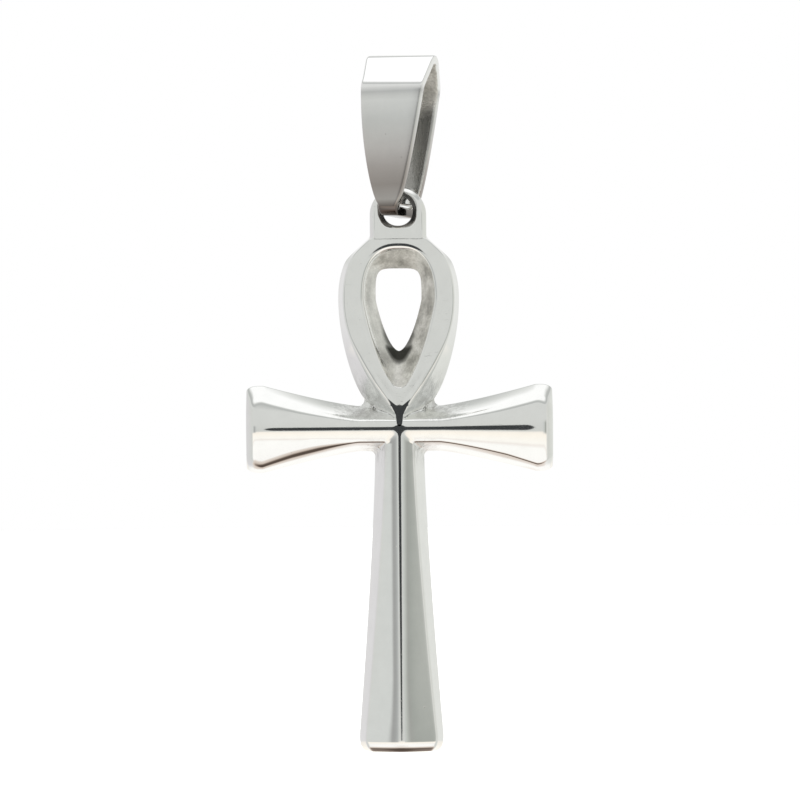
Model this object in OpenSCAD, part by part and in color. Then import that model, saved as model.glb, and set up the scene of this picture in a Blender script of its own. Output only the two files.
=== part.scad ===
// Ankh pendant: one cast ankh with a ring at its head, hung on a folded strap bail.
// The back of the ankh is flat. Its front has roof-shaped arms and stem, and a loop with a sloping face.
// +X is to the right, +Y to the back, +Z up. The origin is the chain's seat, at the top inside the bail.

/* [Bail] */
// Height of the bail over its outside
bail_h = 12.1; // [10:0.1:15]
// Width of the strap over the top bend
strap_top_w = 5.4; // [4:0.1:7]
// Width of the strap under the bottom bend
strap_bottom_w = 1.38; // [1.1:0.02:1.5]
// Width by which the strap's left edge bulges halfway up its plates
left_bulge = 0.3; // [0:0.05:0.5]
// Thickness of the strap
strap_t = 0.72; // [0.5:0.02:0.9]
// Room between each face of the ring and the strap in front of and behind it
plate_clear = 1.07; // [1:0.01:1.5]
// Radius inside the two bends at the bottom
foot_bend = 0.4; // [0.2:0.05:0.7]
// Radius outside the same bends, which are folded tight
foot_fold = 0.75; // [0.5:0.05:1.2]
// Radius inside the two shoulders, where the strap leans in to its top
shoulder_bend = 0.5; // [0.3:0.05:1]
// Radius inside the bend at the top
top_bend = 0.35; // [0.2:0.05:0.8]
// Drop from the top of the inside to the middle of the shoulder bends
shoulder_drop = 2; // [1.6:0.1:3]
// Depth by which each plate leans in from its foot to its shoulder
shoulder_in = 0.25; // [0:0.05:0.5]
// Angle by which the bail hangs turned on the ring, its right side to the front
bail_turn = 19.5; // [0:0.5:22]
// Angle by which the bail leans, its top to the right
bail_lean = 2.1; // [0:0.1:4]

/* [Ring] */
// Least width of the hole, at the middle of its depth
ring_hole_w = 2.16; // [2.1:0.02:2.6]
// Width by which the hole flares towards the front and the back, on each side
ring_flare = 0.4; // [0.34:0.01:0.5]
// Wall beside the hole
ring_wall = 1.04; // [0.8:0.02:1.4]
// Wall over the hole
arch_wall = 0.72; // [0.6:0.02:1]
// Depth of the ring, front to back
ring_d = 1.36; // [1.2:0.02:1.5]
// Width of the slant round the ring's edges
ring_edge = 0.3; // [0.1:0.02:0.4]
// Gap between the corners of the strap and the hole, where the ring hangs on the strap
hang_gap = 0.3; // [0.2:0.01:0.3]

/* [Loop] */
// Width of the loop over its outside, at the back
loop_w = 9.08; // [8:0.1:10]
// Width of the loop's face over its outer edge
face_w = 8.3; // [7.4:0.1:9]
// Width of the loop's opening in the front face
rim_w = 5.4; // [4.4:0.1:6]
// Width of the loop's opening at the back
hole_w = 3.4; // [2.6:0.1:4]
// Drop from the middle of the ring's hole to the widest line of the loop
loop_drop = 6.6; // [6:0.1:7.2]
// Rise of the loop's outside over its widest line
loop_rise = 5.4; // [5:0.1:6]
// Drop from the middle of the ring's hole to where the loop's straight shoulders leave the ring
shoulder_from = 1.94; // [1.7:0.02:2.2]
// Angle between these shoulders and the upright
shoulder_angle = 48; // [40:1:60]
// Rise of the front opening over the widest line
rim_rise = 4.0; // [3.2:0.1:4.4]
// Rise of the back opening over the widest line
hole_rise = 2.3; // [1.6:0.1:2.8]
// Depth of the front opening's point under the widest line
rim_dip = 6.65; // [5.6:0.1:7]
// Depth of the back opening's point under the widest line
hole_dip = 3.85; // [3:0.1:4.6]

/* [Arms] */
// Drop from the middle of the ring's hole to the ridge of the arms
arm_drop = 16.3; // [15.6:0.1:18]
// Length over both arms
arm_span = 22.98; // [18:0.1:28]
// Height of each arm at its tip
arm_tip_h = 6.52; // [5:0.1:8]
// Height of each arm where it leaves the crossing
arm_root_h = 3.38; // [2.8:0.1:4]
// Width of the steep band above and below the front of the arms
arm_band = 1.0; // [0.6:0.05:1.2]

/* [Stem] */
// Length from the ridge of the arms to the foot
stem_l = 24.2; // [20:0.1:30]
// Width of the stem where it leaves the crossing
stem_top_w = 3.68; // [3:0.1:4.4]
// Width of the stem at its foot
foot_w = 6.3; // [5:0.1:8]
// Width of the steep band beside the front of the stem, at the crossing
stem_band = 0.78; // [0.5:0.02:1]
// Width of the same band at the foot
foot_band = 0.46; // [0.3:0.02:0.7]

/* [Thickness] */
// Thickness of the ankh at its ridges
ridge_t = 2.4; // [2.2:0.05:3]
// Slope of the roof at each side of a ridge, in degrees
roof_slope = 21; // [12:1:26]
// Distance over which a ridge is rounded
ridge_round = 0.62; // [0.3:0.02:0.9]
// Height of the upright edge round the back
back_edge = 0.3; // [0.15:0.05:0.5]
// Width of the steep band at the tips of the arms
tip_band = 0.7; // [0.4:0.05:0.9]
// Width of the steep band at the bottom of the foot
sole_band = 0.7; // [0.4:0.05:0.9]
// Length over which the ridges bend down before an end
end_bend = 1.4; // [0.8:0.1:2]
// Depth by which the ridges bend down there
end_fall = 0.06; // [0:0.02:0.3]
// Length of the rounded corners of the tips
tip_corner = 0.7; // [0.3:0.05:1]
// Length of the rounded corners of the foot
foot_corner = 1.3; // [0.5:0.05:1.6]

/* [Hidden] */
$fn = 96;

// Half of the depth inside the bail
inner_half = ring_d / 2 + plate_clear;
bail_inner_h = bail_h - 2 * strap_t;
back_y = ring_d / 2;
ring_r = ring_hole_w / 2 + ring_wall;

// Half-width of the strap across the middle of the hole, seen square to the hole
strap_half = strap_bottom_w / 2 / cos(bail_turn);
// The strap's upper corners lie this far over the middle of the hole
strap_rise = sqrt(max(0, pow(ring_hole_w / 2 - hang_gap, 2) - pow(strap_half, 2)));
hole_x = -bail_inner_h * sin(bail_lean);
hole_z = -bail_inner_h * cos(bail_lean) - strap_rise;

// The strap keeps its bottom width up to this height over its lowest line, and widens from there
narrow_rise = 0.75;
narrow_share = narrow_rise / bail_h;
taper_power = 0.68;
taper_steps = 12;
// Share of the bail's height at which the left edge's bulge ends, and how full the bulge is
bulge_to = 0.84;
bulge_full = 0.7;

widest_z = -loop_drop;
arm_z = -arm_drop;

// Exponents of the loop's outlines: how full their upper part is, and how their lower part closes
outer_full = 2.2;
face_full = 2.25;
rim_full = 2.7;
hole_full = 5;
face_close = [2.1, 1.35];
rim_close = [1.18, 0.6];
hole_close = [1.1, 0.57];
// The face's shoulders lie this far inside the outer ones
face_shoulder_in = 0.2;
loop_stations = 72;

// The loop's outside narrows by this share towards the arms, and runs on into them over this length
outer_pinch = 0.5;
outer_pinch_power = 1.5;
outer_close_power = 30;
outer_run = 0.9;
// The face's lower point stays this far over the ridge of the arms
face_short = 0.55;
// The ring's sides end this far over the front opening
side_over = 0.3;

// Shares of the arms' and the stem's length where the flare starts and ends
arm_flare_from = 0.26;
arm_flare_to = 0.89;
arm_flare_power = 1.25;
stem_flare_from = 0.07;
stem_flare_to = 0.95;
stem_flare_power = 1.35;
flare_stations = 16;

// Shares of the half front, from the crease to the ridge, at which a section has its points
roof_shares = [1, 0.82, 0.62, 0.42, 0.26, 0.12];
// Shares of the steep end's length at which its sections lie, and number of sections over the bent ridge
end_shares = [0, 0.08, 0.22, 0.5, 1];
bend_stations = 4;
// Share of its height that the front still has at the very tip
tip_lift = 0.66;

function clamp(v) = max(0, min(1, v));

// A solid through rings of points, all of the same count. A closed one joins its last ring to its first
module loft(rings, closed = false) {
    n = len(rings[0]);
    m = len(rings);
    points = [for (ring = rings) for (p = ring) p];
    sides = [
        for (i = [0 : m - (closed ? 1 : 2)]) for (j = [0 : n - 1])
            let (a = i * n + j, b = i * n + (j + 1) % n)
            let (c = ((i + 1) % m) * n + (j + 1) % n, d = ((i + 1) % m) * n + j)
            for (face = [[a, c, b], [a, d, c]]) face
    ];
    caps = closed ? [] : [[for (j = [0 : n - 1]) j], [for (j = [n - 1 : -1 : 0]) (m - 1) * n + j]];
    polyhedron(points = points, faces = concat(sides, caps), convexity = 8);
}

// Bail: a strap folded into a long loop, narrow where it passes the ring
function strap_w(share) = strap_bottom_w + (strap_top_w - strap_bottom_w)
    * pow(clamp((share - narrow_share) / (1 - narrow_share)), taper_power);
function bulge_at(share) =
    left_bulge * pow(sin(180 * clamp((share - narrow_share) / (bulge_to - narrow_share))), bulge_full);

// Side view of the bail: two upright plates, which lean in to the top from their shoulders
module bail_side(wall, foot_r) {
    hull() {
        translate([0, -top_bend]) circle(top_bend + wall);
        for (s = [-1, 1]) {
            translate([s * (inner_half - shoulder_in - shoulder_bend), -shoulder_drop])
                circle(shoulder_bend + wall);
            translate([s * (inner_half + wall - foot_r), foot_r - wall - bail_inner_h])
                circle(foot_r);
        }
    }
}

module bail_front() {
    shares = concat([0], [for (i = [0 : taper_steps]) narrow_share + (1 - narrow_share) * i / taper_steps]);
    right = [for (share = shares) [strap_w(share) / 2, strap_t - bail_h + bail_h * share]];
    left = [for (i = [len(right) - 1 : -1 : 0]) [-right[i][0] - bulge_at(shares[i]), right[i][1]]];
    polygon(concat(right, left));
}

module bail() {
    color("silver")
    rotate([0, bail_lean, 0]) rotate([0, 0, -bail_turn])
    intersection() {
        rotate([90, 0, 90]) translate([0, 0, -strap_top_w]) linear_extrude(2 * strap_top_w)
            difference() {
                bail_side(strap_t, foot_fold);
                bail_side(0, foot_bend);
            }
        rotate([90, 0, 0]) translate([0, 0, -bail_h]) linear_extrude(2 * bail_h) bail_front();
    }
}

// Front of the loop at a height: thin as the ring at its head, as thick as the ridges at the crossing
function face_y(z) = -ring_d / 2 - (ridge_t - ring_d) * clamp(-z / (arm_drop - arm_root_h / 2));

// A point of a rounded outline, from its top (0) over its widest line (90) to its lower point (180)
function upper_point(a, w, rise, full) =
    [w / 2 * pow(sin(a), 2 / full), widest_z + rise * pow(max(0, cos(a)), 2 / full)];
function lower_share(a) = min(1, sin(a - 90));
function lower_point(a, w, dip, close) =
    [w / 2 * pow(max(0, 1 - pow(lower_share(a), close[0])), close[1]), widest_z - dip * lower_share(a)];

// The loop leaves the ring's sides by straight shoulders
function shouldered(p, inset) =
    [min(p[0], max(0, ring_r - inset + tan(shoulder_angle) * (-p[1] - shoulder_from))), p[1]];

outer_dip = arm_drop - loop_drop - arm_root_h / 2 + outer_run;
function outer_point(a) = a <= 90 ? shouldered(upper_point(a, loop_w, loop_rise, outer_full), 0)
    : let (s = lower_share(a))
      let (pinch = 1 - outer_pinch * pow(s, outer_pinch_power), close = max(0, 1 - pow(s, outer_close_power)))
      [loop_w / 2 * pinch * sqrt(close), widest_z - outer_dip * s];
function face_point(a) = a <= 90
    ? shouldered(upper_point(a, face_w, loop_rise - (loop_w - face_w) / 2, face_full), face_shoulder_in)
    : lower_point(a, face_w, arm_drop - loop_drop - face_short, face_close);
function rim_point(a) = a <= 90 ? upper_point(a, rim_w, rim_rise, rim_full)
    : lower_point(a, rim_w, rim_dip, rim_close);
function hole_point(a) = a <= 90 ? upper_point(a, hole_w, hole_rise, hole_full)
    : lower_point(a, hole_w, hole_dip, hole_close);

function side(p, s) = [s * p[0], p[1]];
function at_depth(p, y) = [p[0], y, p[1]];
function loop_section(a) =
    let (s = a <= 180 ? 1 : -1, b = a <= 180 ? a : 360 - a)
    let (outer = side(outer_point(b), s), face = side(face_point(b), s))
    let (rim = side(rim_point(b), s), hole = side(hole_point(b), s))
    [at_depth(outer, back_y), at_depth(outer, back_y - back_edge),
     at_depth(face, face_y(face[1])), at_depth(rim, face_y(rim[1])), at_depth(hole, back_y)];

module loop() {
    loft([for (i = [0 : loop_stations - 1]) loop_section(360 * i / loop_stations)], closed = true);
}

// Ring: a round-headed eye, with straight sides down into the loop and slanted edges
module ring_body() {
    shoulder = loop_drop - rim_rise - side_over;
    rotate([90, 0, 0]) {
        translate([0, arch_wall - ring_wall, -ring_d / 2 + ring_edge])
            cylinder(r = ring_r, h = ring_d - 2 * ring_edge);
        for (s = [0, 1]) mirror([0, 0, s])
            translate([0, arch_wall - ring_wall, ring_d / 2 - ring_edge])
                cylinder(r1 = ring_r, r2 = ring_r - ring_edge, h = ring_edge);
    }
    translate([0, 0, -shoulder]) linear_extrude(shoulder + arch_wall - ring_wall)
        polygon([
            for (s = [1, -1]) each [
                [s * ring_r, -s * (ring_d / 2 - ring_edge)], [s * ring_r, s * (ring_d / 2 - ring_edge)],
                [s * (ring_r - ring_edge), s * ring_d / 2], [-s * (ring_r - ring_edge), s * ring_d / 2]
            ]
        ]);
}

// The hole is narrow in its middle and flares to both faces, so that the strap can turn in it
module ring_hole() {
    past = 0.5;
    flare_rise = ring_flare / (ring_d / 2);
    rotate([90, 0, 0]) {
        translate([0, 0, -ring_d]) cylinder(d = ring_hole_w, h = 2 * ring_d);
        for (s = [0, 1]) mirror([0, 0, s])
            cylinder(r1 = ring_hole_w / 2, r2 = ring_hole_w / 2 + flare_rise * (ring_d / 2 + past),
                     h = ring_d / 2 + past);
    }
}

// Arms and stem: a roof with a rounded ridge, steep bands beside it and a flat back
function roof_drop(d) = tan(roof_slope) * (sqrt(d * d + ridge_round * ridge_round) - ridge_round);

// Half of a section, from the back to the ridge, as distance from the ridge line and height over the back
function half_section(half, band, fall, lift) = concat(
    [[half, 0], [half, back_edge]],
    [for (share = roof_shares)
        let (d = share * (half - band))
        [d, back_edge + lift * (ridge_t - fall - roof_drop(d) - back_edge)]]
);
function section(half, band, fall, lift) =
    let (right = half_section(half, band, fall, lift))
    concat(right, [[0, back_edge + lift * (ridge_t - fall - back_edge)]],
           [for (i = [len(right) - 1 : -1 : 0]) [-right[i][0], right[i][1]]]);

// How a limb ends: its rounded corners, its bent ridge and its steep end, at a distance from the tip
function corner_cut(end, corner) = corner / 2 * (1 - sqrt(1 - pow(clamp(1 - end / corner), 2)));
function bend_fall(end, band) = end_fall * pow(clamp(1 - (end - band) / end_bend), 2);
function end_lift(end, band) = 1 - (1 - tip_lift) * pow(clamp(1 - end / band), 2);

function flare(share, from, to, power) = pow(clamp((share - from) / (to - from)), power);
function arm_half(share) =
    (arm_root_h + (arm_tip_h - arm_root_h) * flare(share, arm_flare_from, arm_flare_to, arm_flare_power)) / 2;
function stem_half(share) =
    (stem_top_w + (foot_w - stem_top_w) * flare(share, stem_flare_from, stem_flare_to, stem_flare_power)) / 2;
function stem_band_at(share) = stem_band + (foot_band - stem_band) * share;

// Distances from the tip at which the sections of a limb lie, from the tip to the middle
function limb_ends(l, band) =
    let (end = band + end_bend)
    concat([for (share = end_shares) share * band],
           [for (i = [1 : bend_stations]) band + end_bend * i / bend_stations],
           [for (i = [1 : flare_stations]) end + (l - end) * i / flare_stations]);

function arm_section(end) = section(
    arm_half(1 - end / (arm_span / 2)) - corner_cut(end, tip_corner), arm_band,
    bend_fall(end, tip_band), end_lift(end, tip_band));
function stem_section(end) = section(
    stem_half(1 - end / stem_l) - corner_cut(end, foot_corner), stem_band_at(1 - end / stem_l),
    bend_fall(end, sole_band), end_lift(end, sole_band));

module arms() {
    ends = limb_ends(arm_span / 2, tip_band);
    n = len(ends);
    left = [for (end = ends)
        [for (p = arm_section(end)) [end - arm_span / 2, back_y - p[1], arm_z + p[0]]]];
    right = [for (i = [n - 2 : -1 : 0])
        [for (p = arm_section(ends[i])) [arm_span / 2 - ends[i], back_y - p[1], arm_z + p[0]]]];
    loft(concat(left, right));
}

module stem() {
    loft([for (end = limb_ends(stem_l, sole_band))
        [for (p = stem_section(end)) [-p[0], back_y - p[1], arm_z - stem_l + end]]]);
}

module ankh() {
    color("lightgray")
    translate([hole_x, 0, hole_z]) difference() {
        union() {
            ring_body();
            loop();
            arms();
            stem();
        }
        ring_hole();
    }
}

bail();
ankh();
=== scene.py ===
from math import asin, atan2, cos, pi, radians, sin, sqrt, tan

import bmesh
import bpy
from mathutils import Matrix, Vector
from mathutils.bvhtree import BVHTree


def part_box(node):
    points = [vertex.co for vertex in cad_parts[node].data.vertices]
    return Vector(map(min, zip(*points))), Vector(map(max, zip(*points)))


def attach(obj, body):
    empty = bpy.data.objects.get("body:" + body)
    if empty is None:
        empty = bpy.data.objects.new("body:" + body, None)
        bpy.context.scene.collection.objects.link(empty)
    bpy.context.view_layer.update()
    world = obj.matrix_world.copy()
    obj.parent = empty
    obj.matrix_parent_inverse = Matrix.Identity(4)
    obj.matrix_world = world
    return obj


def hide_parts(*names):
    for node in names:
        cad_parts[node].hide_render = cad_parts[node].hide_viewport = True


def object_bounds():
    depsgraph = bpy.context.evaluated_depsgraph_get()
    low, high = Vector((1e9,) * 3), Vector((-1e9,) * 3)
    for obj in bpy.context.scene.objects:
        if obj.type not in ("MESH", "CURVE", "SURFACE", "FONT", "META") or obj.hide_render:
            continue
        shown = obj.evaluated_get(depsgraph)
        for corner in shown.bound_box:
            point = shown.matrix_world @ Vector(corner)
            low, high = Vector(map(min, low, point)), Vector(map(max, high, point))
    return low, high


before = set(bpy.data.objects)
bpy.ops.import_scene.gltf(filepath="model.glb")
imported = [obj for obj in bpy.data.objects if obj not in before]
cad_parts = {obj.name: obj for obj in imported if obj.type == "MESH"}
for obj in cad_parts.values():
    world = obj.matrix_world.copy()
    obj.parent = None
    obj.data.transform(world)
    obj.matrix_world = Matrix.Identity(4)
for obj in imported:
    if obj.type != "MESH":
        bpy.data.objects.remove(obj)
cad_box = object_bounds()

# Camera
# It stands before the middle of the pendant, a hand's length away, with a long lens.
# It is rolled by a fraction of a degree, because the pendant hangs a little crooked in the picture.

MM = 0.001
SENSOR_W = 36.0
camera_distance = 230 * MM
field_w = 60.0 * MM
aim = Vector((-0.34, 0, -25.1)) * MM
camera_roll = radians(-0.42)

lens = bpy.data.cameras.new("camera")
lens.sensor_width = SENSOR_W
lens.lens = SENSOR_W * camera_distance / field_w
lens.clip_start = 0.01
camera = bpy.data.objects.new("camera", lens)
bpy.context.scene.collection.objects.link(camera)
camera.matrix_world = (
    Matrix.Translation(aim + Vector((0, -camera_distance, 0)))
    @ Matrix.Rotation(pi / 2, 4, "X")
    @ Matrix.Rotation(camera_roll, 4, "Z")
)
bpy.context.scene.camera = camera
bpy.context.scene.view_settings.view_transform = "Standard"

# Studio
# A white room with a pale floor under the pendant, and one soft light overhead.
# Polished metal shows the room: grey walls, white overhead, cream and then brown below, dark at the lens.

FLOOR_DROP = 150 * MM
FLOOR_R = 4.0
LAMP_ANGLE = radians(60)
LAMP_STRENGTH = 2.4
LENS_SPOT, LENS_SPOT_EDGE = radians(7), 0.06
LENS_TONE = 58, 60, 61
ROOM_POWER = 1.12
PAPER_TONE, PAPER_ROUGH = (0.92, 0.92, 0.91, 1), 0.9


def tone(r, g, b):
    """The linear colour of a display tone given as 0 to 255."""
    return tuple(((c / 255 + 0.055) / 1.055) ** 2.4 if c > 10 else c / 255 / 12.92 for c in (r, g, b))


def add(tree, kind, *links, **settings):
    """Adds a node. Links feed its sockets in order, from sockets or values. Settings are its properties."""
    made = tree.nodes.new(kind)
    for name, value in settings.items():
        setattr(made, name, value)
    for number, source in enumerate(links):
        if source is None:
            continue
        if isinstance(source, bpy.types.NodeSocket):
            tree.links.new(source, made.inputs[number])
        else:
            made.inputs[number].default_value = source
    return made


def sum_up(tree, operation, *values, clamp=False):
    """A sum of up to three values, by the operation of a Math node."""
    return add(tree, "ShaderNodeMath", *values, operation=operation, use_clamp=clamp).outputs[0]


def between(tree, value, low, high):
    """0 below low, 1 over high and smooth between them."""
    made = add(tree, "ShaderNodeMapRange", value, low, high, 0.0, 1.0, interpolation_type="SMOOTHSTEP")
    return made.outputs[0]


def ramp(tree, value, stops):
    """A colour ramp whose stops are (place, colour)."""
    made = add(tree, "ShaderNodeValToRGB", value)
    elements = made.color_ramp.elements
    while len(elements) < len(stops):
        elements.new(1.0)
    for element, (place, colour) in zip(elements, stops):
        element.position = place
        element.color = (*colour, 1)
    return made.outputs[0]


def blend_colours(tree, share, first, second, kind="MIX"):
    """The first colour with a share of the second over it. Each is a socket or a value."""
    made = tree.nodes.new("ShaderNodeMix")
    made.data_type = "RGBA"
    made.blend_type = kind
    for number, source in ((0, share), (6, first), (7, second)):
        if isinstance(source, bpy.types.NodeSocket):
            tree.links.new(source, made.inputs[number])
        elif number == 0:
            made.inputs[0].default_value = source
        else:
            made.inputs[number].default_value = (*source, 1)
    return made.outputs[2]


room = bpy.data.worlds.new("room")
bpy.context.scene.world = room
room.use_nodes = True
sky = room.node_tree
sky.nodes.clear()
way = add(sky, "ShaderNodeTexCoord").outputs["Generated"]
across, along, up = add(sky, "ShaderNodeSeparateXYZ", way).outputs
front = sum_up(sky, "MULTIPLY", along, -1.0)
rise = sum_up(sky, "DIVIDE", sum_up(sky, "ARCSINE", up), pi)
turn = sum_up(sky, "DIVIDE", sum_up(sky, "ARCTAN2", across, front), 2 * pi)


def rise_at(degrees):
    """The place of an elevation on the ramp of the room's height."""
    return degrees / 180 + 0.5


def turn_at(degrees):
    """The place of a direction on the ramp round the room, from straight in front."""
    return degrees / 360 + 0.5


tall_tones = ramp(sky, sum_up(sky, "ADD", rise, 0.5), [
    (rise_at(-90), tone(78, 67, 60)),
    (rise_at(-74), tone(92, 80, 72)),
    (rise_at(-66), tone(160, 146, 136)),
    (rise_at(-60), tone(205, 192, 182)),
    (rise_at(-49), tone(224, 214, 206)),
    (rise_at(-43), tone(254, 252, 250)),
    (rise_at(-33), tone(255, 254, 251)),
    (rise_at(-31), tone(240, 233, 228)),
    (rise_at(-29), tone(255, 252, 246)),
    (rise_at(-18), tone(255, 248, 238)),
    (rise_at(-12), tone(250, 243, 234)),
    (rise_at(-8), tone(206, 207, 204)),
    (rise_at(38.5), tone(211, 212, 210)),
    (rise_at(41.5), tone(182, 184, 182)),
    (rise_at(49), tone(187, 189, 187)),
    (rise_at(54), tone(222, 223, 221)),
    (rise_at(60), tone(255, 255, 255)),
    (rise_at(90), tone(255, 255, 255)),
])
level_tones = ramp(sky, sum_up(sky, "ADD", turn, 0.5), [
    (turn_at(-180), tone(234, 234, 233)),
    (turn_at(-130), tone(214, 212, 214)),
    (turn_at(-60), tone(208, 209, 206)),
    (turn_at(-32), tone(208, 210, 208)),
    (turn_at(-28), tone(160, 160, 159)),
    (turn_at(-22), tone(164, 165, 164)),
    (turn_at(-14), tone(186, 188, 187)),
    (turn_at(14), tone(198, 200, 198)),
    (turn_at(19), tone(192, 195, 190)),
    (turn_at(28), tone(160, 161, 157)),
    (turn_at(33), tone(163, 166, 161)),
    (turn_at(40), tone(175, 177, 172)),
    (turn_at(46), tone(190, 191, 187)),
    (turn_at(52), tone(218, 218, 215)),
    (turn_at(64), tone(216, 216, 212)),
    (turn_at(74), tone(207, 208, 203)),
    (turn_at(130), tone(220, 221, 217)),
    (turn_at(180), tone(234, 234, 233)),
])
# The tones round the room show at eye level on both sides of the lens, and on the tall side walls.
away = sum_up(sky, "ABSOLUTE", turn)
eye_level = sum_up(sky, "SUBTRACT", 1.0, between(sky, sum_up(sky, "ABSOLUTE", rise), 9 / 180, 17 / 180))
eye_level = sum_up(sky, "MULTIPLY", eye_level, between(sky, away, 10 / 360, 16 / 360))
walls = between(sky, away, 40 / 360, 60 / 360)
wall_ends = ((away, 155 / 360, 130 / 360), (rise, -56 / 180, -44 / 180), (rise, 36 / 180, 24 / 180))
for place, none, full in wall_ends:
    walls = sum_up(sky, "MULTIPLY", walls, between(sky, place, none, full))
room_tones = blend_colours(sky, sum_up(sky, "MAXIMUM", eye_level, walls), tall_tones, level_tones)
at_lens = between(sky, front, cos(LENS_SPOT * (1 + LENS_SPOT_EDGE)), cos(LENS_SPOT * (1 - LENS_SPOT_EDGE)))
room_tones = blend_colours(sky, at_lens, room_tones, tone(*LENS_TONE))
seen = add(sky, "ShaderNodeLightPath").outputs["Is Camera Ray"]
reflected = add(sky, "ShaderNodeBackground", room_tones, ROOM_POWER).outputs[0]
backdrop = add(sky, "ShaderNodeBackground", (1, 1, 1, 1), 1.0).outputs[0]
add(sky, "ShaderNodeOutputWorld", add(sky, "ShaderNodeMixShader", seen, reflected, backdrop).outputs[0])

floor_mesh = bmesh.new()
bmesh.ops.create_circle(floor_mesh, cap_ends=True, segments=64, radius=FLOOR_R)
bmesh.ops.translate(floor_mesh, verts=floor_mesh.verts, vec=(0, 0, cad_box[0][2] - FLOOR_DROP))
floor_data = bpy.data.meshes.new("floor")
floor_mesh.to_mesh(floor_data)
floor = bpy.data.objects.new("floor", floor_data)
bpy.context.scene.collection.objects.link(floor)
floor.visible_glossy = False
paper = bpy.data.materials.new("floor_paper")
paper.use_nodes = True
paper_skin = paper.node_tree.nodes["Principled BSDF"]
paper_skin.inputs["Base Color"].default_value = PAPER_TONE
paper_skin.inputs["Roughness"].default_value = PAPER_ROUGH
floor_data.materials.append(paper)

lamp_data = bpy.data.lights.new("lamp", "SUN")
lamp_data.angle = LAMP_ANGLE
lamp_data.energy = LAMP_STRENGTH
lamp = bpy.data.objects.new("lamp", lamp_data)
bpy.context.scene.collection.objects.link(lamp)
lamp.visible_glossy = False

# Ankh
# One casting in polished steel: ring, loop, two arms and stem, with a flat back.
# The front of the arms and the stem is a roof with a soft ridge, between steep bands.
# The loop has a broad sloping face, and its opening narrows towards the back.

ankh_low, ankh_high = (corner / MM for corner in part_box("ankh"))

# Lengths are in millimetres. In the loop's outlines, RISE and DIP are the heights over and under the
# widest line, FULL is how full the rounded top is, and CLOSE is how the part below draws to its point.
RING_D = 1.36
RING_HOLE_R = 1.08
RING_FLARE, CLEAR_FLARE, UNDER_FLARE = 0.28, 0.1, 0.22
RING_WALL = 1.04
ARCH_WALL = 0.72
RING_EDGE = 0.3
RING_LEG_SHARE = 0.62
RING_FOOT = 0.6
LOOP_W, FACE_W, RIM_W, HOLE_W = 9.08, 8.3, 5.4, 3.4
LOOP_DROP = 6.6
LOOP_RISE, RIM_RISE, HOLE_RISE = 5.4, 3.82, 2.3
OUTER_FULL, FACE_FULL, RIM_FULL, HOLE_FULL = 2.2, 2.25, 2.45, 5
RIM_DIP, HOLE_DIP = 6.65, 3.85
FACE_CLOSE, RIM_CLOSE, HOLE_CLOSE = (2.1, 1.35), (1.18, 0.6), (1.1, 0.57)
FACE_SHORT = 0.55
OUTER_RUN = 0.9
OUTER_PINCH, PINCH_POWER, NECK_PINCH, NECK_POWER, CLOSE_POWER = 0.52, 1.88, 0.5, 8, 30
NECK_HALF, NECK_TURN = 0.2, 0.06
POINT_RUN, POINT_TURN = 0.42, 0.25
SHOULDER_FROM, SHOULDER_ANGLE, SHOULDER_SOFT = 1.94, radians(48), 0.25
FACE_SHOULDER_IN = 0.2
FACE_SOFT, POINT_SOFT = 0.14, 0.26
FACE_DISH, DISH_W, DISH_FROM, DISH_FULL = 0.08, 0.55, 11, 13
ROLL_W, ROLL_FALL = 0.3, 0.028
RIM_BLUNT, RIM_POINT_SOFT = 0.16, 0.3
LOOP_GRID = 0.16

# The ring's face lies this much over the loop's, and is brought level with it over the ring's foot.
OVERLAY = 0.004
FOOT_MERGE, FOOT_MERGE_FROM = 0.05, 1.5

# ARM_FLARE and STEM_FLARE say where the limb's widening starts and ends along it, and its power.
ARM_DROP = 16.3
ARM_TIP_H, ARM_ROOT_H = 6.52, 3.38
ARM_FLARE = 0.26, 0.89, 1.25
ARM_BAND, ARM_LOWER_BAND = 1.0, 0.68
ARM_CREASE, ARM_LOWER_CREASE = 0.45, 0.12
ARM_BELLY, ARM_LOWER_BELLY = 0.07, 0.15
RIDGE_SPREAD, CREASE_SPREAD, TIP_NARROWER = 0.6, 0.33, 0.2
STEM_TOP_W, FOOT_W = 3.68, 6.3
STEM_FLARE = 0.07, 0.95, 1.35
STEM_BAND, FOOT_BAND = 0.78, 0.46
STEM_CREASE = 0.16
STEM_OVER = 0.3
RIDGE_T = 2.4
ROOF_SLOPE, FOOT_FLATTER, FOOT_FLAT_FROM = tan(radians(21)), 0.07, 6
RIDGE_ROUND, ARM_RIDGE_ROUND = 0.62, 0.75
BACK_EDGE = 0.3

# The ends of the limbs. Each slant of the sole is how far up it reaches, and how steep it is.
TIP_BAND, SOLE_BAND = 0.7, 0.7
END_BEND, END_FALL = 1.4, 0.06
END_EDGE, END_EDGE_LOSS = 0.06, 0.22
SOLE_SLANTS = ((0.74, 0.36), (0.36, 0.75))
ROOF_CORNER, FOOT_ROOF_CORNER = 0.4, 0.1
TIP_CORNER, FOOT_CORNER = 0.85, 1.0
TIP_LIFT = 0.66

# The filled valleys, and the rounded corners under the arms, beside the ring and beside the loop.
CORE_FILLET, FILLET_GROWTH = 0.05, 0.65
VALLEY_EDGE = 0.14
UNDER_WEB_R, UNDER_WEB_BAND, UNDER_WEB_TOP = 0.4, 0.55, 1.42
SHOULDER_WEB_R, SHOULDER_WEB_BAND = 0.5, 0.3
SIDE_WEB, SIDE_WEB_R, SIDE_WEB_BAND, SIDE_WEB_TOP = (3.08, -14.14), 0.45, 0.9, 0.72
SIDE_WEB_STARTS, SIDE_WEB_SWEEP = (radians(-93), radians(150)), radians(123)

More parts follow.
